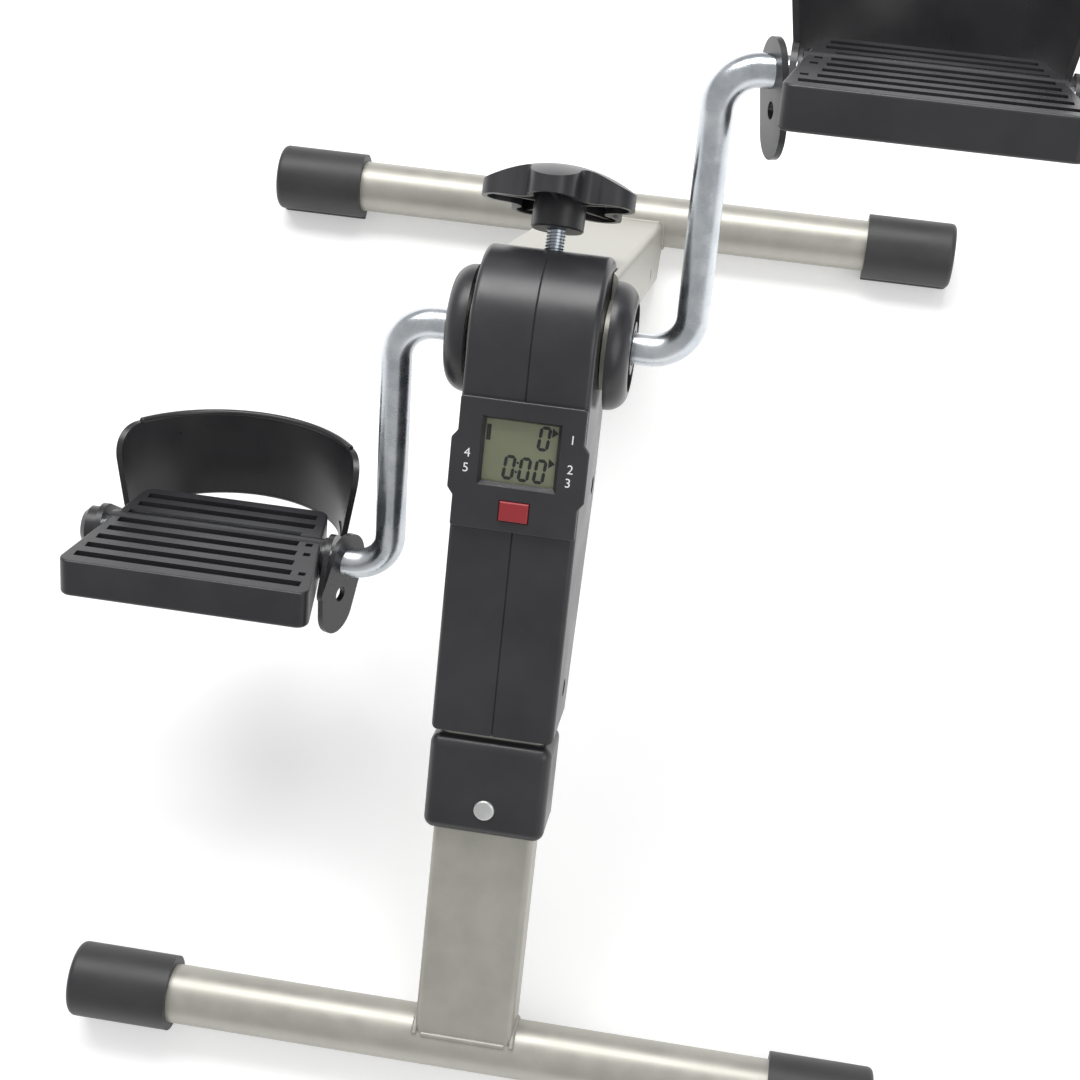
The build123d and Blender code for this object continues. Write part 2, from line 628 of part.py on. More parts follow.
save(POST * front_leg(), "front_leg")
save(REAR * rear_channel(), "rear_leg")
save(POST * Compound(children=screws(half_w - screw_recess)), "housing_screws")
save(POST * leg_sleeve(), "leg_sleeve")
save(POST * sleeve_rivet(), "sleeve_rivet")
save(POST * bezel(), "display_bezel")
save(POST * display_lens(), "display_lens")
save(POST * lcd_panel(), "lcd_panel")
save(POST * display_board(), "display_board")
save(POST * coin_cell(), "coin_cell")
save(POST * mode_button(), "mode_button")
save(POST * button_pad(), "button_pad")
save(POST * reed_sensor(), "reed_sensor")
save(CRANK * friction_drum(), "friction_drum")
save(CRANK * drum_magnet(), "drum_magnet")
save(STUD * brake_lining(), "brake_lining")
save(STUD * brake_shoe(), "brake_shoe")
save(STUD * stud_nut(), "stud_nut")
save(STUD * knob_stud(), "knob_stud")
save(STUD * star_knob(), "tension_knob")

tilt = radians(crank_tilt)
for name, side, pedal_tilt in (("left", -1, pedal_tilt_left), ("right", 1, pedal_tilt_right)):
    place = Location((side * pedal_x, axle_y + side * crank_length * sin(tilt),
                      axle_z + side * crank_length * cos(tilt)), (-pedal_tilt, 0, 0))
    pieces = {"pedal": pedal_body(), "strap": pedal_strap(), "spindle_washer": spindle_washer(),
              "spindle_cap": spindle_cap()}
    for piece, shape in pieces.items():
        shape = shape if side < 0 else mirror(shape, Plane.YZ)
        save(place * shape, f"{piece}_{name}")
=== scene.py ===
"""The looks of a folding pedal exerciser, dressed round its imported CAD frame. All lengths are in metres."""

import json
import math

import bmesh
import bpy
from mathutils import Matrix, Vector


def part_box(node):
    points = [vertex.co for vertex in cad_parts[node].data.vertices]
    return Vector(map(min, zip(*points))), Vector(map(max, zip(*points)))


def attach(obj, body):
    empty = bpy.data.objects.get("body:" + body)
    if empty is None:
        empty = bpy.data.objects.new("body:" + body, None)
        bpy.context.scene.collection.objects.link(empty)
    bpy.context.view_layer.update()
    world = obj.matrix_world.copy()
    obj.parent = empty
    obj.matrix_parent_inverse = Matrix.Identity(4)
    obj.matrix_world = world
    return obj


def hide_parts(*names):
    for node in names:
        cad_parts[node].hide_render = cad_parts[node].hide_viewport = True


MM = 0.001
HAIR = 0.01 * MM     # slack when choosing what lies in a plane
ROTATE_WAY = -1      # with no window open, the rotate operator turns the other way

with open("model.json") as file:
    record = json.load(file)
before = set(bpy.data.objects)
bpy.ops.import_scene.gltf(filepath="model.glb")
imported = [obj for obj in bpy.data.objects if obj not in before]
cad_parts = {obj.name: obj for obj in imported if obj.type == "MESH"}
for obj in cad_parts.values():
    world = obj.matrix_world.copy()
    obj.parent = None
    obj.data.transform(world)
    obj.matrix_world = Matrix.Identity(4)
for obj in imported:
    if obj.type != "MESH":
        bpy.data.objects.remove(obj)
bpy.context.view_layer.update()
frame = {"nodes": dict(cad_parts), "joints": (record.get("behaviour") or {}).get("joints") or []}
nodes = frame["nodes"]
joints = {joint["name"]: joint for joint in frame["joints"]}

# ---- places that the frame gives ----
AXLE = Vector(joints["crank_turn"]["pos_m"])
KNOB_AXIS = Vector(joints["knob_turn"]["axis"])
BACK = Vector(joints["button_press"]["axis"])          # into the housing's face
SIDE = Vector((1, 0, 0))
UP_POST = SIDE.cross(BACK)                             # up along the front leg


def frame_at(origin, across, along, out):
    """The matrix that takes a piece modelled at the origin to its place on the object."""
    turned = Matrix((across, along, out)).transposed().to_4x4()
    return Matrix.Translation(origin) @ turned


POST = frame_at(AXLE, SIDE, BACK, UP_POST)             # x across, y into the face, z up the front leg
STUD = frame_at(AXLE, SIDE, KNOB_AXIS.cross(SIDE), KNOB_AXIS)
PEDAL_TILT = {"left": 42.0, "right": 40.0}             # toe edge down, degrees


def pedal_frame(side):
    """The place of a pedal's own axes: x to the right, y to the toe edge, z out of the tread."""
    tilt = math.radians(PEDAL_TILT[side])
    toe = Vector((0, math.cos(tilt), -math.sin(tilt)))
    out = Vector((0, math.sin(tilt), math.cos(tilt)))
    return frame_at(Vector(joints[f"pedal_{side}_turn"]["pos_m"]), SIDE, toe, out)


# ---- camera ----
CAMERA_TURN, CAMERA_DOWN, CAMERA_ROLL = 14.57, 66.174, -5.575    # degrees
CAMERA_DISTANCE = 793.1 * MM          # from the axle, along the view
AXLE_ACROSS, AXLE_ABOVE = 0.0011875, 0.1016   # where the axle stands in the view, over the focal length
FOCAL_MM, SENSOR_MM = 66.667, 36.0


def add_camera():
    turn, down, roll = (math.radians(a) for a in (CAMERA_TURN, CAMERA_DOWN, CAMERA_ROLL))
    view = Vector((-math.sin(turn) * math.cos(down), math.cos(turn) * math.cos(down), -math.sin(down)))
    right = Vector((math.cos(turn), math.sin(turn), 0))
    up = right.cross(view)
    rolled_right = right * math.cos(roll) + up * math.sin(roll)
    rolled_up = up * math.cos(roll) - right * math.sin(roll)
    aim = rolled_right * AXLE_ACROSS + rolled_up * AXLE_ABOVE + view
    data = bpy.data.cameras.new("camera")
    data.lens, data.sensor_width = FOCAL_MM, SENSOR_MM
    data.clip_start = 0.05
    camera = bpy.data.objects.new("camera", data)
    bpy.context.scene.collection.objects.link(camera)
    turned = Matrix((rolled_right, rolled_up, -view)).transposed().to_4x4()
    camera.matrix_world = Matrix.Translation(AXLE - aim * CAMERA_DISTANCE) @ turned
    bpy.context.scene.camera = camera


# ---- shader groups ----
def new_group(name, inputs, outputs):
    group = bpy.data.node_groups.new(name, "ShaderNodeTree")
    for label, value in inputs:
        socket = group.interface.new_socket(label, in_out="INPUT", socket_type="NodeSocketFloat")
        socket.default_value = value
    for label in outputs:
        group.interface.new_socket(label, in_out="OUTPUT", socket_type="NodeSocketFloat")
    start = group.nodes.new("NodeGroupInput")
    end = group.nodes.new("NodeGroupOutput")
    return group, start, end


def noise(tree, coordinates, scale, detail=3.0, roughness=0.5):
    node = tree.nodes.new("ShaderNodeTexNoise")
    node.inputs["Detail"].default_value = detail
    node.inputs["Roughness"].default_value = roughness
    tree.links.new(scale, node.inputs["Scale"])
    tree.links.new(coordinates, node.inputs["Vector"])
    return node.outputs["Fac"]


def remap(tree, value, low, high, to_low, to_high):
    node = tree.nodes.new("ShaderNodeMapRange")
    for label, number in (("From Min", low), ("From Max", high), ("To Min", to_low), ("To Max", to_high)):
        node.inputs[label].default_value = number
    tree.links.new(value, node.inputs["Value"])
    return node.outputs["Result"]


def make_grain_group():
    """Fine moulded grain: a height, and a slow mottle from handling and moulding."""
    group, start, end = new_group("moulded_grain", [("Grain", 2200.0), ("Mottle", 28.0)],
                                  ["Height", "Mottle"])
    place = group.nodes.new("ShaderNodeTexCoord").outputs["Object"]
    fine = noise(group, place, start.outputs["Grain"], 2.0, 0.6)
    slow = noise(group, place, start.outputs["Mottle"], 4.0, 0.55)
    group.links.new(fine, end.inputs["Height"])
    group.links.new(slow, end.inputs["Mottle"])
    return group


def make_streak_group():
    """Fine pits of the plating and slow rubs, for rods and turned metal."""
    group, start, end = new_group("metal_streaks", [("Across", 900.0), ("Rubs", 60.0)],
                                  ["Height", "Rubs"])
    place = group.nodes.new("ShaderNodeTexCoord").outputs["Object"]
    fine = noise(group, place, start.outputs["Across"], 2.0, 0.7)
    rubs = noise(group, place, start.outputs["Rubs"], 5.0, 0.6)
    group.links.new(fine, end.inputs["Height"])
    group.links.new(rubs, end.inputs["Rubs"])
    return group


MOTTLE_SCALE, RUBS_SCALE = 30.0, 70.0      # waves of the slow noise in a metre
NOISE_LOW, NOISE_HIGH = 0.3, 0.7           # the part of a noise that is spread over a roughness

GRAIN = make_grain_group()
STREAKS = make_streak_group()


def new_material(name):
    material = bpy.data.materials.new(name)
    material.use_nodes = True
    return material, material.node_tree, material.node_tree.nodes["Principled BSDF"]


def use_group(tree, group, **values):
    node = tree.nodes.new("ShaderNodeGroup")
    node.node_tree = group
    for label, value in values.items():
        node.inputs[label].default_value = value
    return node


def two_tone(tree, mask, dark, light, low=0.35, high=0.65):
    ramp = tree.nodes.new("ShaderNodeValToRGB")
    ramp.color_ramp.elements[0].position, ramp.color_ramp.elements[1].position = low, high
    ramp.color_ramp.elements[0].color = (*dark, 1)
    ramp.color_ramp.elements[1].color = (*light, 1)
    tree.links.new(mask, ramp.inputs["Fac"])
    return ramp.outputs["Color"]


def add_bump(tree, shader, height, distance, strength=1.0):
    bump = tree.nodes.new("ShaderNodeBump")
    bump.inputs["Strength"].default_value = strength
    bump.inputs["Distance"].default_value = distance
    tree.links.new(height, bump.inputs["Height"])
    tree.links.new(bump.outputs["Normal"], shader.inputs["Normal"])


def vary_roughness(tree, shader, mask, smoothest, roughest):
    tree.links.new(remap(tree, mask, NOISE_LOW, NOISE_HIGH, smoothest, roughest), shader.inputs["Roughness"])


def grained(name, dark, light, rough, spread, grain, depth):
    """Moulded plastic or rubber with grain, mottle and a roughness that varies with it."""
    material, tree, shader = new_material(name)
    group = use_group(tree, GRAIN, Grain=grain, Mottle=MOTTLE_SCALE)
    tree.links.new(two_tone(tree, group.outputs["Mottle"], dark, light), shader.inputs["Base Color"])
    vary_roughness(tree, shader, group.outputs["Mottle"], rough - spread, rough + spread)
    add_bump(tree, shader, group.outputs["Height"], depth)
    return material


def metal(name, dark, light, rough, spread, across, depth, metallic=1.0):
    """Bare, plated or painted metal with pits, rubs and a roughness that varies with the rubs."""
    material, tree, shader = new_material(name)
    shader.inputs["Metallic"].default_value = metallic
    group = use_group(tree, STREAKS, Across=across, Rubs=RUBS_SCALE)
    tree.links.new(two_tone(tree, group.outputs["Rubs"], dark, light), shader.inputs["Base Color"])
    vary_roughness(tree, shader, group.outputs["Rubs"], rough - spread, rough + spread)
    add_bump(tree, shader, group.outputs["Height"], depth)
    return material


def make_lens():
    material, tree, shader = new_material("clear_lens")
    shader.inputs["Base Color"].default_value = (0.95, 0.97, 0.95, 1)
    shader.inputs["Transmission Weight"].default_value = 1.0
    shader.inputs["IOR"].default_value = 1.15
    group = use_group(tree, GRAIN, Grain=300.0, Mottle=40.0)
    vary_roughness(tree, shader, group.outputs["Mottle"], 0.02, 0.08)
    return material


# name, darker and lighter colour, roughness and how much it varies, pits or grains in a metre, their depth
PAINT = metal("champagne_paint", (0.42, 0.41, 0.37), (0.47, 0.46, 0.41), 0.42, 0.05, 2600.0, 0.000012, 0.55)
ZINC = metal("bright_zinc", (0.52, 0.56, 0.60), (0.72, 0.75, 0.78), 0.27, 0.09, 900.0, 0.00003)
RIVET_STEEL = metal("rivet_steel", (0.60, 0.61, 0.60), (0.72, 0.73, 0.72), 0.42, 0.08, 900.0, 0.00002, 0.8)
DARK_STEEL = metal("dark_steel", (0.10, 0.10, 0.105), (0.16, 0.16, 0.165), 0.4, 0.08, 900.0, 0.00001)
# the weld beads are painted darker and duller than the frame's paint
DARKER_BEAD_PAINT = metal("darker_bead_paint", (0.34, 0.33, 0.30), (0.42, 0.41, 0.37), 0.5, 0.08, 900.0, 0.00006, 0.45)
PLASTIC = grained("black_plastic", (0.023, 0.023, 0.026), (0.031, 0.031, 0.034), 0.33, 0.06, 2600.0, 0.00002)
STRAP_PLASTIC = grained("strap_plastic", (0.018, 0.018, 0.020), (0.025, 0.025, 0.027), 0.30, 0.05, 2600.0,
                        0.00001)
RUBBER = grained("black_rubber", (0.028, 0.028, 0.030), (0.040, 0.040, 0.042), 0.48, 0.06, 1800.0, 0.00004)
RED = grained("red_button", (0.26, 0.018, 0.024), (0.32, 0.025, 0.032), 0.38, 0.05, 1500.0, 0.00002)
LCD = grained("display_film", (0.235, 0.24, 0.16), (0.265, 0.265, 0.18), 0.35, 0.04, 800.0, 0.000004)
INK = grained("display_ink", (0.012, 0.013, 0.016), (0.02, 0.021, 0.025), 0.5, 0.03, 800.0, 0.000002)
NYLON = grained("pale_nylon", (0.55, 0.54, 0.50), (0.62, 0.61, 0.57), 0.45, 0.05, 1200.0, 0.00002)
BOARD = grained("circuit_board", (0.02, 0.10, 0.05), (0.03, 0.13, 0.06), 0.4, 0.05, 900.0, 0.00001)
FELT = grained("pressed_felt", (0.10, 0.09, 0.08), (0.16, 0.15, 0.13), 0.9, 0.05, 1500.0, 0.0002)
WHITE_INK = grained("white_print", (0.72, 0.72, 0.72), (0.82, 0.82, 0.82), 0.5, 0.04, 900.0, 0.000004)
LENS = make_lens()

FINISHES = {
    PAINT: ["front_leg", "front_cross_bar", "rear_leg", "rear_cross_bar"],
    ZINC: ["crank_left", "crank_right", "stud_nut", "coin_cell", "drum_magnet", "knob_stud"],
    RIVET_STEEL: ["sleeve_rivet"],
    DARK_STEEL: ["housing_screws"],
    PLASTIC: ["housing_left", "housing_right", "leg_sleeve", "hub_cover_left", "hub_cover_right",
              "tension_knob", "pedal_left", "pedal_right", "spindle_cap_left", "spindle_cap_right",
              "display_bezel"],
    STRAP_PLASTIC: ["strap_left", "strap_right", "reed_sensor", "spindle_washer_left",
                    "spindle_washer_right"],
    RUBBER: ["front_foot_left", "front_foot_right", "rear_foot_left", "rear_foot_right", "button_pad"],
    RED: ["mode_button"],
    LCD: ["lcd_panel"],
    LENS: ["display_lens"],
    BOARD: ["display_board"],
    NYLON: ["friction_drum", "axle_bush_left", "axle_bush_right", "brake_shoe"],
    FELT: ["brake_lining"],
}


def dress(piece, material):
    piece.data.materials.clear()
    piece.data.materials.append(material)


for finish, names in FINISHES.items():
    for name in names:
        dress(nodes[name], finish)


# ---- modelling helpers ----
def pick_only(*pieces):
    bpy.ops.object.select_all(action="DESELECT")
    for piece in pieces:
        piece.select_set(True)
    bpy.context.view_layer.objects.active = pieces[0]


def start(add, **values):
    """Add a primitive with nothing else selected and return it."""
    bpy.ops.object.select_all(action="DESELECT")
    add(**values)
    return bpy.context.object


def settle(piece):
    """Write the piece's own place into its mesh."""
    pick_only(piece)
    bpy.ops.object.transform_apply(location=True, rotation=True, scale=True)


def open_edit(piece, kind="FACE", everything=False):
    pick_only(piece)
    bpy.ops.object.mode_set(mode="EDIT")
    bpy.ops.mesh.select_mode(type=kind)
    bpy.ops.mesh.select_all(action="SELECT" if everything else "DESELECT")


def close_edit():
    bpy.ops.object.mode_set(mode="OBJECT")


def choose(piece, kind, wanted):
    """In edit mode, select the vertices, edges or faces that wanted() says yes to."""
    mesh = bmesh.from_edit_mesh(piece.data)
    bpy.ops.mesh.select_all(action="DESELECT")
    mesh.select_mode = {kind}
    items = {"VERT": mesh.verts, "EDGE": mesh.edges, "FACE": mesh.faces}[kind]
    for item in items:
        item.select_set(bool(wanted(item)))
    mesh.select_flush_mode()
    bmesh.update_edit_mesh(piece.data)


def apply_modifier(piece, kind, **values):
    pick_only(piece)
    modifier = piece.modifiers.new(kind.lower(), kind)
    for label, value in values.items():
        setattr(modifier, label, value)
    bpy.ops.object.modifier_apply(modifier=modifier.name)


def round_edges(piece, width, segments=2, angle=40.0):
    apply_modifier(piece, "BEVEL", width=width, segments=segments, limit_method="ANGLE",
                   angle_limit=math.radians(angle))


def cut_with(piece, cutter):
    apply_modifier(piece, "BOOLEAN", operation="DIFFERENCE", object=cutter, solver="EXACT")
    bpy.data.objects.remove(cutter)


def join(pieces):
    pick_only(*pieces)
    bpy.ops.object.join()
    return pieces[0]


def copy_of(piece):
    twin = piece.copy()
    twin.data = piece.data.copy()
    bpy.context.scene.collection.objects.link(twin)
    return twin


def seat(piece, place):
    """Move a piece by a matrix and write the move into its mesh."""
    piece.matrix_world = place @ piece.matrix_world
    settle(piece)


def face_outwards(piece):
    open_edit(piece, everything=True)
    bpy.ops.mesh.remove_doubles(threshold=0.000002)
    bpy.ops.mesh.normals_make_consistent(inside=False)
    close_edit()


def finish_piece(piece, name, place, body, material, smooth=35.0, stands_for=()):
    piece.name = piece.data.name = name
    seat(piece, place)
    face_outwards(piece)
    pick_only(piece)
    bpy.ops.object.shade_smooth_by_angle(angle=math.radians(smooth))
    dress(piece, material)
    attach(piece, body)
    if stands_for:
        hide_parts(*stands_for)


def about(axis, degrees):
    return Matrix.Rotation(math.radians(degrees), 4, axis)


def shift(x, y, z):
    return Matrix.Translation((x, y, z))


def stands_forward(node):
    """How far a node's mesh stands in front of the axle, square to the front leg."""
    return max((POST.inverted() @ v.co).y * -1 for v in nodes[node].data.vertices)


def node_centre(node):
    low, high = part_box(node)
    return (low + high) / 2


# ---- display ----
INK_FORWARD, INK_T = 33.13 * MM, 0.04 * MM     # in front of the film, under the lens
DIGIT_W, DIGIT_H, STROKE, STROKE_GAP = 3.4 * MM, 8.7 * MM, 1.3 * MM, 0.08 * MM
DIGIT_LEAN = 6.0
ZERO_PLACES = [(8.7, -33.0), (-3.9, -46.0), (2.2, -46.2), (8.2, -46.2)]      # mm across and up the post
COLON_R = 0.5 * MM
COLON_PLACES = [(-0.65, -43.8), (-1.0, -47.5)]
POINTER_L, POINTER_H = 2.4 * MM, 3.9 * MM
POINTER_PLACES = [(12.8, -30.3), (12.5, -42.5)]
CHARGE_PLACE, CHARGE_W, CHARGE_H = (-13.0, -33.0), 1.7 * MM, 6.3 * MM
POINTER_TIP, STROKE_TIP = 0.04, 0.05           # what is left of the height at a pointed end
MODE_H, MODE_T = 3.6 * MM, 0.03 * MM
LETTER_SHARE = 0.7                             # a figure's height as a share of its type size
MODE_PLACES = {"1": (20.0, -31.5), "2": (20.2, -43.2), "3": (19.8, -48.6),
               "4": (-20.2, -41.5), "5": (-20.4, -47.5)}


def ink_stroke(length):
    """A flat bar with pointed ends, centred, along x."""
    half = length / 2 - STROKE_GAP
    bar = start(bpy.ops.mesh.primitive_cube_add, size=1)
    bar.scale = (2 * half - STROKE, INK_T, STROKE)
    settle(bar)
    open_edit(bar)
    for way in (1, -1):
        choose(bar, "FACE", lambda face: face.normal.x * way > 0.9)
        bpy.ops.mesh.extrude_region_move(TRANSFORM_OT_translate={"value": (way * STROKE / 2, 0, 0)})
        bpy.ops.transform.resize(value=(1, 1, STROKE_TIP), center_override=(way * half, 0, 0))
    close_edit()
    return bar


def zero():
    """The figure 0 as a segment display draws it: six strokes round an open middle."""
    level, upright = ink_stroke(DIGIT_W), ink_stroke(DIGIT_H / 2)
    slope = math.tan(math.radians(DIGIT_LEAN))
    strokes = []
    for z in (-DIGIT_H / 2, DIGIT_H / 2):
        strokes.append(copy_of(level))
        seat(strokes[-1], shift(z * slope, 0, z))
    for z in (-DIGIT_H / 4, DIGIT_H / 4):
        for x in (-DIGIT_W / 2, DIGIT_W / 2):
            strokes.append(copy_of(upright))
            seat(strokes[-1], shift(x + z * slope, 0, z) @ about("Y", DIGIT_LEAN - 90))
    bpy.data.objects.remove(level)
    bpy.data.objects.remove(upright)
    return join(strokes)


def pointer():
    """A small arrow head that points right."""
    mark = start(bpy.ops.mesh.primitive_cube_add, size=1)
    mark.scale = (POINTER_L, INK_T, POINTER_H)
    settle(mark)
    open_edit(mark)
    choose(mark, "FACE", lambda face: face.normal.x > 0.9)
    bpy.ops.transform.resize(value=(1, 1, POINTER_TIP), center_override=(POINTER_L / 2, 0, 0))
    close_edit()
    return mark


def dot():
    mark = start(bpy.ops.mesh.primitive_cylinder_add, vertices=16, radius=COLON_R, depth=INK_T,
                 rotation=(math.radians(90), 0, 0))
    settle(mark)
    return mark


def charge_mark():
    """A plain dark block in the corner of the film."""
    mark = start(bpy.ops.mesh.primitive_cube_add, size=1)
    mark.scale = (CHARGE_W, INK_T, CHARGE_H)
    settle(mark)
    open_edit(mark)
    choose(mark, "FACE", lambda face: face.normal.z > 0.9)
    bpy.ops.mesh.inset(thickness=CHARGE_W / 4, use_boundary=True)
    bpy.ops.mesh.select_all(action="DESELECT")
    close_edit()
    return mark


def add_display_ink():
    marks = []
    for model, places in ((zero(), ZERO_PLACES), (pointer(), POINTER_PLACES), (dot(), COLON_PLACES),
                          (charge_mark(), [CHARGE_PLACE])):
        for x, z in places:
            marks.append(copy_of(model))
            seat(marks[-1], shift(x * MM, -INK_FORWARD, z * MM))
        bpy.data.objects.remove(model)
    finish_piece(join(marks), "display_ink", POST, "front_frame", INK)


def add_mode_figures():
    """Plain figures printed on the bezel beside the window."""
    front = -stands_forward("display_bezel")
    figures = []
    for text, (x, z) in MODE_PLACES.items():
        figure = start(bpy.ops.object.text_add)
        figure.data.body = text
        figure.data.size = MODE_H / LETTER_SHARE
        figure.data.align_x, figure.data.align_y = "CENTER", "CENTER"
        figure.data.extrude = MODE_T / 2
        bpy.ops.object.convert(target="MESH")
        seat(figure, shift(x * MM, front - MODE_T / 2, z * MM) @ about("X", 90))
        figures.append(figure)
    finish_piece(join(figures), "mode_figures", POST, "front_frame", WHITE_INK)


# ---- threaded stud ----
THREAD_CREST_R, THREAD_PITCH = 3.95 * MM, 1.25 * MM
THREAD_TURNS, THREAD_STEPS = 32, 28
STUD_LOW, STUD_HIGH = 21.6 * MM, 58.2 * MM


def add_stud():
    """The knob's stud: one tooth of the thread swept up in a screw and cut level at both ends."""
    depth = THREAD_PITCH / 2
    low = STUD_LOW - 2 * THREAD_PITCH
    thread = start(bpy.ops.mesh.primitive_plane_add, size=THREAD_PITCH / math.sqrt(2),
                   location=(THREAD_CREST_R - depth, 0, low),
                   rotation=(math.radians(90), math.radians(45), 0))
    settle(thread)
    open_edit(thread, "VERT")
    choose(thread, "VERT", lambda v: v.co.x < THREAD_CREST_R - 1.5 * depth)
    bpy.ops.mesh.delete(type="VERT")
    close_edit()
    apply_modifier(thread, "SCREW", axis="Z", screw_offset=THREAD_PITCH, iterations=THREAD_TURNS,
                   steps=THREAD_STEPS, render_steps=THREAD_STEPS, use_merge_vertices=False)
    open_edit(thread, everything=True)
    bpy.ops.mesh.remove_doubles(threshold=0.000005)
    for level, way in ((STUD_LOW, -1), (STUD_HIGH, 1)):
        bpy.ops.mesh.select_all(action="SELECT")
        bpy.ops.mesh.bisect(plane_co=(0, 0, level), plane_no=(0, 0, way), use_fill=True, clear_outer=True)
    close_edit()
    finish_piece(thread, "threaded_stud", STUD, "knob", ZINC, smooth=25.0,
                 stands_for=("knob_stud",))


# ---- housing screws ----
SCREW_HEAD_R, SCREW_HEAD_H, SCREW_R = 3.6 * MM, 2.0 * MM, 1.9 * MM
CROSS_L, CROSS_W, CROSS_DEEP = 4.2 * MM, 0.9 * MM, 1.3 * MM
SCREW_EDGE_ROUND, SCREW_TAPER, SCREW_TURN = 0.8 * MM, 0.7, 20
CROSS_TAPER_L, CROSS_TAPER_W = 0.45, 0.7       # the recess at its floor, as a share of its mouth
SCREW_FACE = 24.6 * MM                         # outer faces of the heads, from the middle of the part
SCREW_PLACES = [(16.0, -62.0, 44.0), (-12.0, -141.0, 9.0)]      # mm behind the axle, up the post, length


def screw(length):
    """A pan-head screw along z, its head's face at the origin, with a cross recess."""
    head = start(bpy.ops.mesh.primitive_cylinder_add, vertices=40, radius=SCREW_HEAD_R, depth=SCREW_HEAD_H,
                 location=(0, 0, -SCREW_HEAD_H / 2))
    settle(head)
    open_edit(head)
    choose(head, "FACE", lambda face: face.normal.z < -0.9)
    bpy.ops.mesh.inset(thickness=SCREW_HEAD_R - SCREW_R)
    bpy.ops.mesh.extrude_region_move(TRANSFORM_OT_translate={"value": (0, 0, -length)})
    bpy.ops.transform.resize(value=(SCREW_TAPER, SCREW_TAPER, 1),
                             center_override=(0, 0, -SCREW_HEAD_H - length))
    choose(head, "EDGE", lambda edge: all(v.co.z > -HAIR for v in edge.verts))
    bpy.ops.mesh.bevel(offset=SCREW_EDGE_ROUND, segments=4)
    close_edit()
    for turn in (0, 90):
        slot = start(bpy.ops.mesh.primitive_cube_add, size=1)
        slot.scale = (CROSS_L, CROSS_W, 2 * CROSS_DEEP)
        settle(slot)
        open_edit(slot)
        choose(slot, "FACE", lambda face: face.normal.z < -0.9)
        bpy.ops.transform.resize(value=(CROSS_TAPER_L, CROSS_TAPER_W, 1), center_override=(0, 0, -CROSS_DEEP))
        close_edit()
        seat(slot, about("Z", turn))
        cut_with(head, slot)
    return head


def add_screws():
    made = []
    for back, up, length in SCREW_PLACES:
        made.append(screw(length * MM))
        seat(made[-1], shift(SCREW_FACE, back * MM, up * MM) @ about("Y", 90) @ about("Z", SCREW_TURN))
    finish_piece(join(made), "cross_head_screws", POST, "front_frame", DARK_STEEL,
                 smooth=30.0, stands_for=("housing_screws",))


# ---- sleeve rivet ----
RIVET_R, RIVET_RISE, RIVET_SUNK = 4.3 * MM, 1.1 * MM, 1.0 * MM
RIVET_EDGE_ROUND, RIVET_CROWN_IN, RIVET_CROWN = 0.8 * MM, 1.2 * MM, 0.15 * MM


def add_rivet():
    """A nearly flat rivet head, standing a little proud of the sleeve."""
    sleeve_face = stands_forward("leg_sleeve")
    middle_up = (POST.inverted() @ node_centre("sleeve_rivet")).z
    head = start(bpy.ops.mesh.primitive_cylinder_add, vertices=48, radius=RIVET_R,
                 depth=RIVET_RISE + RIVET_SUNK, location=(0, 0, (RIVET_RISE - RIVET_SUNK) / 2))
    settle(head)
    open_edit(head)
    choose(head, "EDGE", lambda edge: all(v.co.z > RIVET_RISE - HAIR for v in edge.verts))
    bpy.ops.mesh.bevel(offset=RIVET_EDGE_ROUND, segments=4)
    choose(head, "FACE", lambda face: face.normal.z > 0.99)
    bpy.ops.mesh.inset(thickness=RIVET_CROWN_IN)
    bpy.ops.transform.translate(value=(0, 0, RIVET_CROWN))
    close_edit()
    seat(head, shift(0, -sleeve_face, middle_up) @ about("X", 90))
    finish_piece(head, "rivet_head", POST, "front_frame", RIVET_STEEL,
                 stands_for=("sleeve_rivet",))


# ---- welds ----
BAR_R = 12.7 * MM
LEG_HALF_W, LEG_HALF_D, LEG_CORNER = 21.0 * MM, 11.0 * MM, 3.0 * MM
PLATE_HALF_W, PLATE_OVER_BAR = 27.4 * MM, 0.6 * MM
PLATE_TO_AXLE = 27.9 * MM                      # from the channel's line through the axle to the rear tube
PLATE_ARC_LOW, PLATE_ARC_HIGH = 180, 262       # where the flanges' beads run round the rear tube
BEAD_R, BEAD_STEP, BEAD_RIPPLE = 1.5 * MM, 1.1 * MM, 0.84
BEAD_END_R = BEAD_R * 0.7
BEAD_OFF_BAR = 0.3 * MM                        # a round bead's centre, out from the tube's face
PLATE_BEAD_OFF, PLATE_BEAD_SUNK, PLATE_BEAD_SHORT = 0.2 * MM, 0.4 * MM, 4 * MM


def bead_end():
    """A small disc on the x-y plane, the first ring of a weld bead."""
    return start(bpy.ops.mesh.primitive_circle_add, vertices=12, radius=BEAD_END_R, fill_type="NGON")


def ripple(k):
    """How much the ring at step k grows or shrinks from the last."""
    return 1 / BEAD_RIPPLE if k % 2 else BEAD_RIPPLE


def straight_bead(length):
    """A rippled bead along x, centred."""
    bead = bead_end()
    seat(bead, shift(-length / 2, 0, 0) @ about("Y", 90))
    steps = max(2, round(length / BEAD_STEP))
    open_edit(bead, everything=True)
    for k in range(1, steps + 1):
        x = -length / 2 + length * k / steps
        size = ripple(k)
        bpy.ops.mesh.extrude_region_move(TRANSFORM_OT_translate={"value": (length / steps, 0, 0)})
        bpy.ops.transform.resize(value=(size, size, size), center_override=(x, 0, 0))
    close_edit()
    return bead


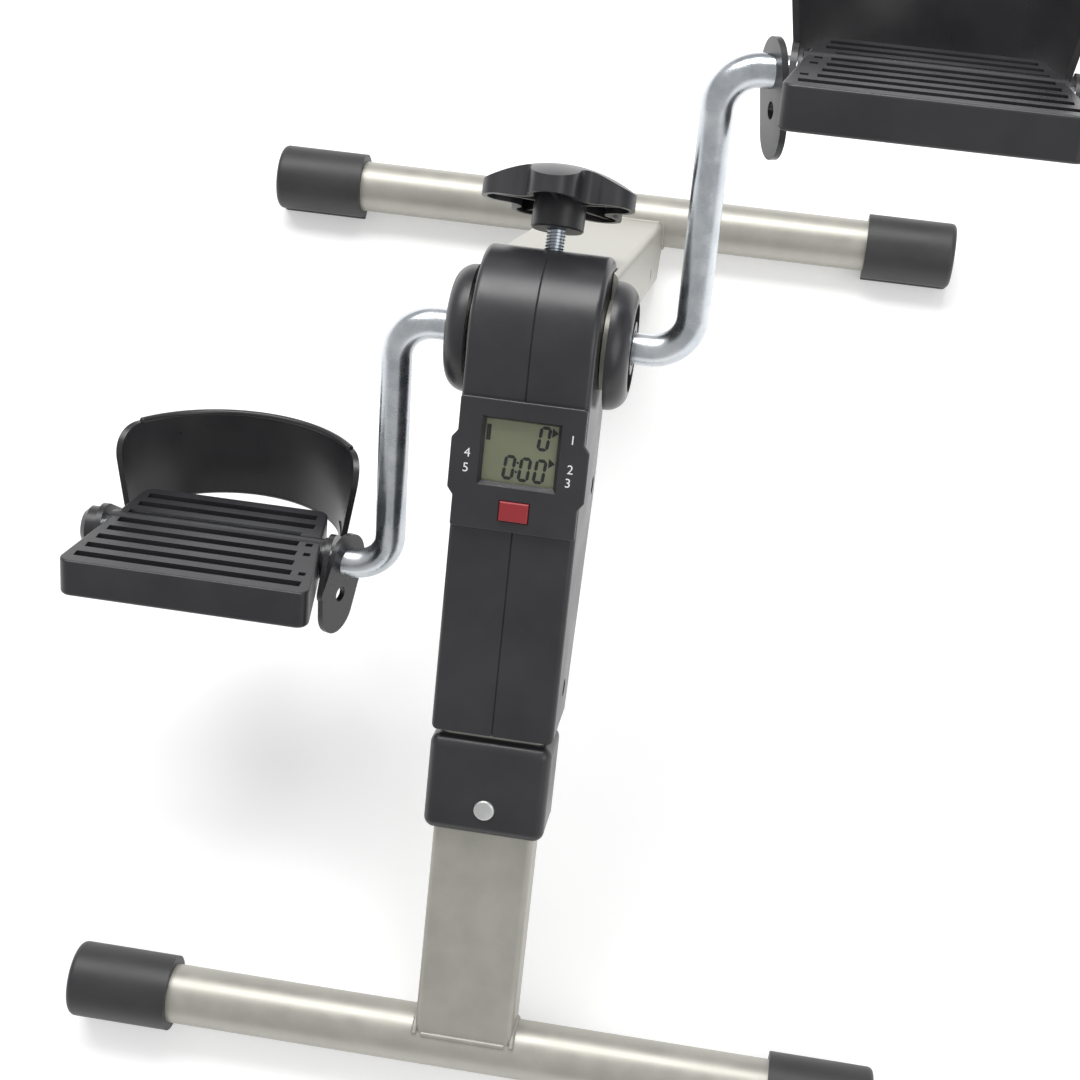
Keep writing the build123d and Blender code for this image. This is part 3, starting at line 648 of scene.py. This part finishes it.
def round_bead(r, low, high):
    """A rippled bead round the x axis, from one angle to another, measured from y towards z."""
    bead = bead_end()
    seat(bead, shift(0, r, 0))
    steps = max(2, round(math.radians(high - low) * r / BEAD_STEP))
    turn = math.radians(high - low) / steps
    open_edit(bead, everything=True)
    for k in range(1, steps + 1):
        size = ripple(k)
        bpy.ops.mesh.extrude_region_move()
        bpy.ops.transform.rotate(value=ROTATE_WAY * turn, orient_axis="X", center_override=(0, 0, 0))
        here = (0, r * math.cos(turn * k), r * math.sin(turn * k))
        bpy.ops.transform.resize(value=(size, size, size), center_override=here)
    close_edit()
    seat(bead, about("X", low))
    return bead


def add_leg_weld():
    """The bead where the front leg's box tube meets its cross tube."""
    bar = node_centre("front_cross_bar")
    place = frame_at(bar, SIDE, BACK, UP_POST)
    corner = math.degrees(math.asin(LEG_HALF_D / BAR_R))
    made = []
    for way in (1, -1):
        bead = straight_bead(2 * (LEG_HALF_W - LEG_CORNER))
        seat(bead, shift(0, way * LEG_HALF_D, math.sqrt(BAR_R ** 2 - LEG_HALF_D ** 2)))
        made.append(bead)
        arc = round_bead(BAR_R + BEAD_OFF_BAR, 90 - corner, 90 + corner)
        seat(arc, shift(way * LEG_HALF_W, 0, 0))
        made.append(arc)
    finish_piece(join(made), "leg_weld", place, "front_frame", DARKER_BEAD_PAINT, smooth=60.0)


def add_channel_weld():
    """The beads where the bent channel of the rear leg meets its cross tube."""
    bar = node_centre("rear_cross_bar")
    away = bar - AXLE
    rise = math.asin(PLATE_TO_AXLE / math.hypot(away.y, away.z))
    down = Vector((0, away.y, away.z)).normalized()
    along = Matrix.Rotation(-rise, 3, "X") @ down
    place = frame_at(bar, SIDE, along, SIDE.cross(along))
    made = [straight_bead(2 * PLATE_HALF_W - PLATE_BEAD_SHORT)]
    seat(made[0], shift(0, -BAR_R - PLATE_BEAD_OFF, PLATE_OVER_BAR - PLATE_BEAD_SUNK))
    for way in (1, -1):
        arc = round_bead(BAR_R + BEAD_OFF_BAR, PLATE_ARC_LOW, PLATE_ARC_HIGH)
        seat(arc, shift(way * PLATE_HALF_W, 0, 0))
        made.append(arc)
    finish_piece(join(made), "channel_weld", place, "rear_frame", DARKER_BEAD_PAINT, smooth=60.0)


# ---- strap rims ----
# mm above the spindle, radius and centre of the loop, angle where the rim starts, radius of the rim itself
RIMS = [{"up": 35.0, "radius": 58.55, "centre": 7.45, "low": 35.0, "thick": 1.5},
        {"up": -3.3, "radius": 50.55, "centre": 15.45, "low": 17.0, "thick": 1.35}]
RIM_STEPS, RIM_END_ROUND = 48, 0.8 * MM


def strap_rim(up, radius, centre, low, thick):
    """The rounded rim of a strap's loop: a ring of section spun round the toe end."""
    rim = start(bpy.ops.mesh.primitive_circle_add, vertices=14, radius=thick * MM, fill_type="NGON",
                rotation=(math.radians(90), 0, 0))
    settle(rim)
    seat(rim, shift(radius * MM, 0, 0))
    turn = math.radians(180 - 2 * low) / RIM_STEPS
    open_edit(rim, everything=True)
    for k in range(RIM_STEPS):
        bpy.ops.mesh.extrude_region_move()
        bpy.ops.transform.rotate(value=ROTATE_WAY * turn, orient_axis="Z", center_override=(0, 0, 0))
    close_edit()
    round_edges(rim, RIM_END_ROUND, 3, 60.0)
    seat(rim, shift(0, centre * MM, up * MM) @ about("Z", low))
    return rim


def add_strap_trim(side):
    made = [strap_rim(**values) for values in RIMS]
    finish_piece(join(made), f"strap_rims_{side}", pedal_frame(side), f"pedal_{side}_body", STRAP_PLASTIC,
                 smooth=50.0)


add_display_ink()
add_mode_figures()
add_stud()
add_screws()
add_rivet()
add_leg_weld()
add_channel_weld()
for side in ("left", "right"):
    add_strap_trim(side)


# ---- stage ----
def add_stage():
    floor = start(bpy.ops.mesh.primitive_plane_add, size=12, location=(0, 0, -0.0003))
    floor.name = "floor"
    material, tree, shader = new_material("pale_floor")
    shader.inputs["Base Color"].default_value = (0.8, 0.8, 0.8, 1)
    shader.inputs["Roughness"].default_value = 0.9
    path = tree.nodes.new("ShaderNodeLightPath")
    seen = tree.nodes.new("ShaderNodeMath")
    seen.operation = "MAXIMUM"
    tree.links.new(path.outputs["Is Camera Ray"], seen.inputs[0])
    tree.links.new(path.outputs["Is Glossy Ray"], seen.inputs[1])
    glow = tree.nodes.new("ShaderNodeMath")
    glow.operation = "MULTIPLY"
    glow.inputs[1].default_value = 0.35
    tree.links.new(seen.outputs[0], glow.inputs[0])
    shader.inputs["Emission Color"].default_value = (1, 1, 1, 1)
    tree.links.new(glow.outputs[0], shader.inputs["Emission Strength"])
    dress(floor, material)


def add_lamp(name, place, size, power, aim=(0, 0, 0.15)):
    data = bpy.data.lights.new(name, "AREA")
    data.size, data.energy = size, power
    lamp = bpy.data.objects.new(name, data)
    bpy.context.scene.collection.objects.link(lamp)
    lamp.location = place
    lamp.rotation_euler = (Vector(aim) - Vector(place)).to_track_quat("-Z", "Y").to_euler()


def add_light():
    add_lamp("key", (-0.9, 0.9, 1.8), 1.0, 17)
    add_lamp("fill", (1.3, -0.8, 1.5), 1.4, 11)
    add_lamp("top", (0.0, 0.75, 1.35), 0.7, 11)
    world = bpy.data.worlds.new("studio")
    world.use_nodes = True
    world.node_tree.nodes["Background"].inputs["Color"].default_value = (1, 1, 1, 1)
    world.node_tree.nodes["Background"].inputs["Strength"].default_value = 0.5
    bpy.context.scene.world = world


add_stage()
add_light()
add_camera()
bpy.context.scene.view_settings.view_transform = "Standard"

bpy.context.view_layer.update()
